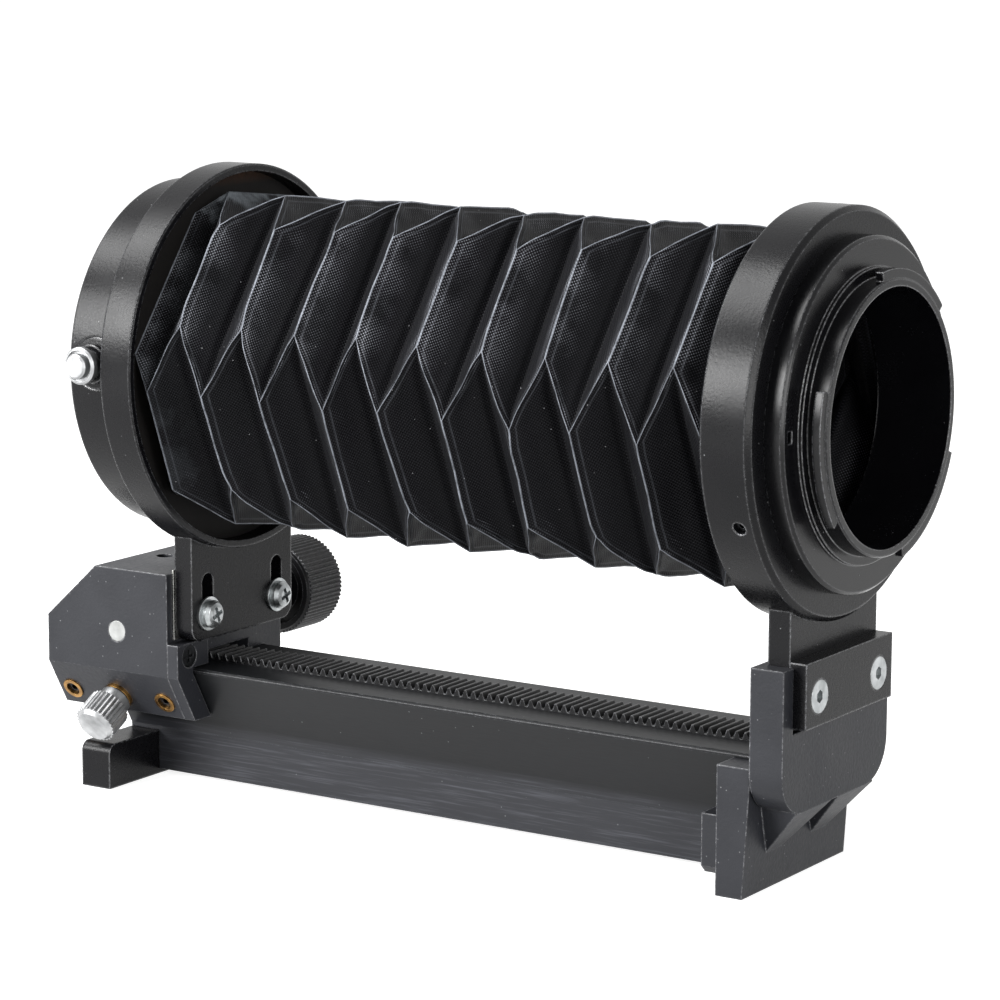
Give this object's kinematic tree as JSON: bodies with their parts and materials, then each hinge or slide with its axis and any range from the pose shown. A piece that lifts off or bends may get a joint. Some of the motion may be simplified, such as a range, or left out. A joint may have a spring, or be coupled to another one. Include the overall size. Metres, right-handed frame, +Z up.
{
  "type": "macro bellows unit",
  "caption": "Pleated bellows on a toothed dovetail rail, with a geared sliding lens standard, a fixed camera bayonet, a focusing knob and a clamp screw.",
  "frame": {"origin": "centre of the camera-side flange seat, on the optical axis", "axes": "+X along the rail and the optical axis towards the camera, +Y to the focusing knob's side, +Z up; the feet stand on the plane Z = -0.0875 m"},
  "size_m": [0.181, 0.0868, 0.126],
  "materials": {
    "black_anodised": "satin black on an extruded rail",
    "rack_black": "blackened cut teeth",
    "black_casting": "slightly grainy matt black paint on a casting",
    "black_satin": "smooth satin black",
    "black_gloss": "polished black on turned metal",
    "zinc_steel": "bright zinc-plated steel",
    "dark_steel": "oil-blackened steel",
    "spring_steel": "plain spring steel",
    "shim_steel": "thin rolled sheet",
    "bright_steel": "ground steel shaft",
    "chromed_plate": "satin chromed bayonet plate",
    "bright_aluminium": "turned bare aluminium",
    "brass": "plain turned brass",
    "fibre_board": "dark brown vulcanised fibre",
    "bellows_cloth": "black woven bellows cloth with polished creases",
    "black_knob": "black anodised, finely grooved rim"
  },
  "bodies": {
    "stand": {"rail": "black_anodised", "rack": "rack_black", "camera_end_bracket": "black_casting", "lens_end_foot": "black_casting", "foot_screws": "zinc_steel", "clamp_plate": "black_satin", "clamp_screws": "zinc_steel", "camera_ring": "black_satin", "camera_bayonet": "black_gloss", "ring_set_screws": "dark_steel", "camera_bellows_frame": "fibre_board", "bellows": "bellows_cloth"},
    "lens_carriage": {"lens_bellows_frame": "fibre_board", "lens_ring": "black_satin", "ring_screws": "dark_steel", "lens_mount_ring": "black_satin", "lens_bayonet_plate": "chromed_plate", "bayonet_springs": "spring_steel", "plate_screws": "zinc_steel", "button_collar": "black_satin", "button_spring": "spring_steel", "carriage": "black_casting", "gib_strip": "brass", "gib_keeper": "black_casting", "keeper_screw": "dark_steel", "gib_inserts": "brass", "gib_screws": "dark_steel", "shaft_bush": "brass", "tab_shim": "shim_steel", "height_washers": "zinc_steel", "height_screws": "zinc_steel"},
    "drive": {"pinion": "brass", "pinion_set_screw": "dark_steel", "pinion_shaft": "bright_steel", "drive_knob": "black_knob", "knob_set_screw": "dark_steel"},
    "lock_foot": {"lock_pad": "brass"},
    "lock": {"lock_screw": "zinc_steel", "lock_knob": "bright_aluminium"},
    "button": {"release_button": "bright_aluminium"},
    "pin": {"lock_pin": "zinc_steel"}
  },
  "joints": [
    {"name": "carriage_slide", "type": "slide", "parent": "stand", "child": "lens_carriage", "axis": [1, 0, 0], "range_m": [0, 0.085], "deforming": ["bellows"]},
    {"name": "drive_turn", "type": "hinge", "parent": "lens_carriage", "child": "drive", "pos_m": [-0.1586, 0, -0.05508], "axis": [0, 1, 0], "range_deg": [0, 812]},
    {"name": "lock_advance", "type": "slide", "parent": "lens_carriage", "child": "lock_foot", "axis": [0, -0.866, -0.5], "range_m": [0, 0.0007]},
    {"name": "lock_turn", "type": "hinge", "parent": "lock_foot", "child": "lock", "pos_m": [-0.1611, -0.01548, -0.0693], "axis": [0, -0.866, -0.5], "range_deg": [0, 360]},
    {"name": "button_press", "type": "slide", "parent": "lens_carriage", "child": "button", "axis": [0, 1, 0], "range_m": [0, 0.0015], "stiffness_N_per_m": 400, "springref_m": -0.0008, "deforming": ["button_spring"]},
    {"name": "pin_draw", "type": "slide", "parent": "lens_carriage", "child": "pin", "axis": [1, 0, 0], "range_m": [0, 0.001]}
  ],
  "couplings": [
    {"joint": "drive_turn", "follows": "carriage_slide", "rad_per_m": 166.67},
    {"joint": "lock_turn", "follows": "lock_advance", "rad_per_m": 8975.9},
    {"joint": "pin_draw", "follows": "button_press", "ratio": 0.6666}
  ]
}
